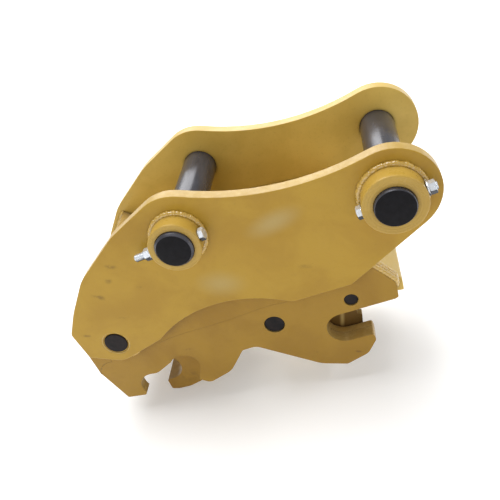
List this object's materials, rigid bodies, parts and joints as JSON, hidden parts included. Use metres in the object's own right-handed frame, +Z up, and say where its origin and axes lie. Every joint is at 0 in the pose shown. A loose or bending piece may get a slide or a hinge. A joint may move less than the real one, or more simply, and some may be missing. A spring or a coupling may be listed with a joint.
{
  "type": "excavator quick coupler",
  "caption": "Hydraulic quick hitch for an excavator stick: twin side plates, two stick pins in collars, fixed front jaw with sprung latch, swinging rear hook moved by a cylinder.",
  "frame": {"origin": "bottom centre of the outer box, with the coupler upright and the line of its stick pins level", "axes": "+X along the line of the stick pins towards the front jaw, +Y towards the side that carries the pin keepers, +Z up towards the stick"},
  "size_m": [0.884, 0.46, 0.6062],
  "materials": {
    "yellow_paint": "semi-gloss ochre yellow paint",
    "dark_steel": "dark induction-hardened steel",
    "zinc_plated": "bright zinc plate",
    "bronze": "machined bronze",
    "hard_chrome": "hard chrome, polished",
    "black_paint": "satin black paint",
    "spring_steel": "oiled spring steel"
  },
  "bodies": {
    "frame": {"upper_side_plate_right": "yellow_paint", "upper_side_plate_left": "yellow_paint", "front_stick_pin": "dark_steel", "rear_stick_pin": "dark_steel", "front_collar_right": "yellow_paint", "front_collar_left": "yellow_paint", "rear_collar_right": "yellow_paint", "rear_collar_left": "yellow_paint", "front_cross_bolt_right": "zinc_plated", "front_cross_bolt_left": "zinc_plated", "rear_cross_bolt_right": "zinc_plated", "rear_cross_bolt_left": "zinc_plated", "front_cross_washer_right": "zinc_plated", "front_cross_washer_left": "zinc_plated", "rear_cross_washer_right": "zinc_plated", "rear_cross_washer_left": "zinc_plated", "front_cross_nut_right": "zinc_plated", "front_cross_nut_left": "zinc_plated", "rear_cross_nut_right": "zinc_plated", "rear_cross_nut_left": "zinc_plated", "lower_hook_plate_right": "yellow_paint", "lower_hook_plate_left": "yellow_paint", "jaw_doubler_right": "yellow_paint", "jaw_doubler_left": "yellow_paint", "rear_cross_plate": "yellow_paint", "front_cross_plate": "yellow_paint", "deck_plate": "yellow_paint", "floor_plate": "yellow_paint", "hook_shaft": "dark_steel", "shaft_bush_right": "yellow_paint", "shaft_bush_left": "yellow_paint", "hook_spacer_right": "black_paint", "hook_spacer_left": "black_paint", "cylinder_pin": "dark_steel", "cylinder_spacer_right": "black_paint", "cylinder_spacer_left": "black_paint", "latch_pin": "dark_steel", "shaft_keeper": "yellow_paint", "shaft_keeper_bolt": "zinc_plated", "cylinder_pin_keeper": "yellow_paint", "cylinder_pin_keeper_bolt": "zinc_plated", "latch_pin_keeper": "yellow_paint", "latch_pin_keeper_bolt": "zinc_plated"},
    "hook": {"moving_hook": "yellow_paint", "rod_pin": "dark_steel", "hook_bush": "bronze"},
    "barrel": {"cylinder_barrel": "black_paint", "cylinder_gland": "black_paint", "check_valve_block": "zinc_plated", "port_fitting_base": "zinc_plated", "port_fitting_rod": "zinc_plated"},
    "rod": {"piston": "dark_steel", "piston_rod": "hard_chrome", "rod_eye": "black_paint"},
    "latch": {"safety_latch": "yellow_paint", "latch_spring": "spring_steel"}
  },
  "joints": [
    {"name": "hook_swing", "type": "hinge", "parent": "frame", "child": "hook", "pos_m": [-0.33737, 0, 0.25925], "axis": [0, -1, 0], "range_deg": [-5, 20]},
    {"name": "cylinder_tilt", "type": "hinge", "parent": "frame", "child": "barrel", "pos_m": [0.03623, 0, 0.21345], "axis": [0, -1, 0], "range_deg": [-5, 1.3]},
    {"name": "rod_extend", "type": "slide", "parent": "barrel", "child": "rod", "axis": [-0.9978, 0, -0.0657], "range_m": [-0.0205, 0.0055]},
    {"name": "latch_swing", "type": "hinge", "parent": "frame", "child": "latch", "pos_m": [0.22063, 0, 0.24825], "axis": [0, -1, 0], "range_deg": [-80, 35], "stiffness_Nm_per_rad": 6, "springref_deg": -5.39}
  ],
  "couplings": [
    {"joint": "cylinder_tilt", "follows": "hook_swing", "ratio": -0.24205},
    {"joint": "rod_extend", "follows": "hook_swing", "m_per_rad": -0.05809}
  ]
}
